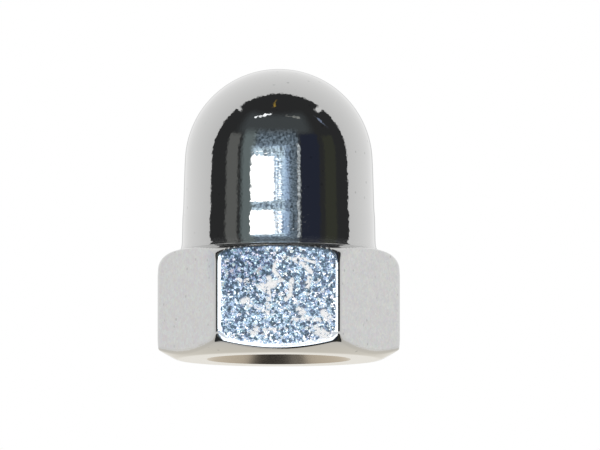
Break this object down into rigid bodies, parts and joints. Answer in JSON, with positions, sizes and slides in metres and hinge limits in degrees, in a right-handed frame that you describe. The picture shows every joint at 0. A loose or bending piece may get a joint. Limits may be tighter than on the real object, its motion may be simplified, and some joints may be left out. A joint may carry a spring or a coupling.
{
  "type": "axle nut",
  "caption": "Domed axle cap nut: a hexagon collar with chamfered ends carries a tapered round neck and a half-round dome over a blind threaded hole.",
  "frame": {"origin": "middle of the flat seat, at the open end of the threaded hole", "axes": "+Z along the axis of the nut, from the seat to the top of the dome; one flat of the hexagon faces -Y, and two of its corners lie on the X axis"},
  "size_m": [0.0196, 0.017, 0.0234],
  "materials": {
    "chrome_plate": "bright chrome plate on steel, with fine dimples and handling scratches on the flats and a dull brown film in the mouth of the hole"
  },
  "bodies": {
    "root": {"axle_nut": "chrome_plate"}
  },
  "joints": []
}
